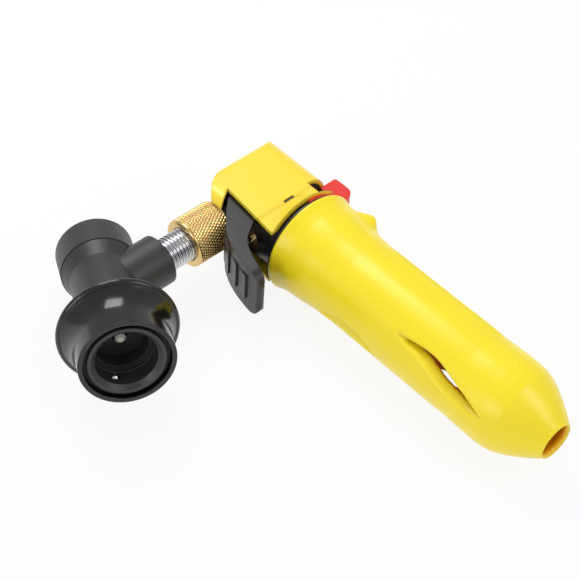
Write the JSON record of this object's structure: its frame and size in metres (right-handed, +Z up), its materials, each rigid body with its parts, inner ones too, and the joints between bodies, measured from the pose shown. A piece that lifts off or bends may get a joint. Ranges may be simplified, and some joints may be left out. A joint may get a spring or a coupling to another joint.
{
  "type": "portable keg dispenser",
  "caption": "Hand-held CO2 keg charger: pistol-type head with lever trigger, screw-on cartridge cup, knurled swivel nut and ball-lock keg disconnect with spring collar.",
  "frame": {"origin": "middle of the bounding box in X and Y, lowest point in Z", "axes": "+X along the cartridge cup from head to nose, -Y along the gas outlet towards the disconnect, +Z up as the part lies"},
  "size_m": [0.1528, 0.1118, 0.0398],
  "materials": {
    "cover_yellow": "satin moulded ABS, warm yellow",
    "cup_yellow": "glossy moulded ABS, lemon yellow",
    "core_black": "satin glass-filled nylon",
    "lever_black": "satin moulded nylon",
    "latch_red": "moulded acetal",
    "brass": "turned, fine diamond knurl on the nut",
    "steel": "turned stainless steel",
    "rubber": "black nitrile rubber",
    "nylon": "natural nylon",
    "body_black": "semi-matte acetal, fine grain",
    "collar_black": "glossy acetal"
  },
  "bodies": {
    "head": {"head_cover": "cover_yellow", "head_core": "core_black", "trigger_pin": "steel", "valve_body": "brass", "stem_ring": "rubber", "valve_gland": "brass", "valve_spring": "steel", "pierce_needle": "steel", "cartridge_seal": "rubber", "outlet_nozzle": "brass", "flare_washer": "nylon"},
    "lever": {"trigger": "lever_black"},
    "stem": {"valve_stem": "steel", "valve_seal": "rubber"},
    "latch": {"safety_latch": "latch_red"},
    "cup": {"cartridge_cup": "cup_yellow"},
    "nut": {"swivel_nut": "brass"},
    "disconnect": {"flare_stud": "steel", "disconnect_body": "body_black", "disconnect_cap": "body_black", "cap_seal": "rubber", "retaining_ring": "steel", "poppet_spring": "steel", "collar_spring": "steel"},
    "collar": {"locking_collar": "collar_black"},
    "ball_a": {"lock_ball_a": "steel"},
    "ball_b": {"lock_ball_b": "steel"},
    "ball_c": {"lock_ball_c": "steel"},
    "tappet": {"poppet": "nylon", "poppet_seal": "rubber"}
  },
  "joints": [
    {"name": "trigger_pull", "type": "hinge", "parent": "head", "child": "lever", "pos_m": [-0.05631, 0.02929, 0.01746], "axis": [0, 0, 1], "range_deg": [0, 9], "stiffness_Nm_per_rad": 0.4, "springref_deg": -2.86, "deforming": ["valve_spring"]},
    {"name": "stem_push", "type": "slide", "parent": "head", "child": "stem", "axis": [0, 1, 0], "range_m": [0, 0.0026]},
    {"name": "latch_turn", "type": "hinge", "parent": "head", "child": "latch", "pos_m": [-0.02861, 0.03479, 0.01746], "axis": [1, 0, 0], "range_deg": [0, 15]},
    {"name": "cup_off", "type": "slide", "parent": "head", "child": "cup", "axis": [1, 0, 0], "range_m": [0, 0.1]},
    {"name": "nut_spin", "type": "hinge", "parent": "head", "child": "nut", "pos_m": [-0.05081, 0.01109, 0.01746], "axis": [0, -1, 0], "continuous": true},
    {"name": "disconnect_swivel", "type": "hinge", "parent": "head", "child": "disconnect", "pos_m": [-0.05081, -0.00521, 0.01746], "axis": [0, -1, 0], "continuous": true},
    {"name": "collar_pull", "type": "slide", "parent": "disconnect", "child": "collar", "axis": [-0.8622, 0.4586, -0.215], "range_m": [0, 0.004], "stiffness_N_per_m": 600, "springref_m": -0.004, "deforming": ["collar_spring"]},
    {"name": "ball_a_out", "type": "slide", "parent": "disconnect", "child": "ball_a", "axis": [0.0135, -0.4034, -0.9149], "range_m": [0, 0.001]},
    {"name": "ball_b_out", "type": "slide", "parent": "disconnect", "child": "ball_b", "axis": [0.4318, 0.8874, 0.1616], "range_m": [0, 0.001]},
    {"name": "ball_c_out", "type": "slide", "parent": "disconnect", "child": "ball_c", "axis": [-0.4453, -0.484, 0.7533], "range_m": [0, 0.001]},
    {"name": "poppet_push", "type": "slide", "parent": "disconnect", "child": "tappet", "axis": [-0.8622, 0.4586, -0.215], "range_m": [0, 0.0025], "stiffness_N_per_m": 300, "springref_m": -0.003, "deforming": ["poppet_spring"]}
  ],
  "couplings": [
    {"joint": "stem_push", "follows": "trigger_pull", "m_per_rad": 0.0165},
    {"joint": "ball_a_out", "follows": "collar_pull", "ratio": 0.25},
    {"joint": "ball_b_out", "follows": "collar_pull", "ratio": 0.25},
    {"joint": "ball_c_out", "follows": "collar_pull", "ratio": 0.25}
  ]
}
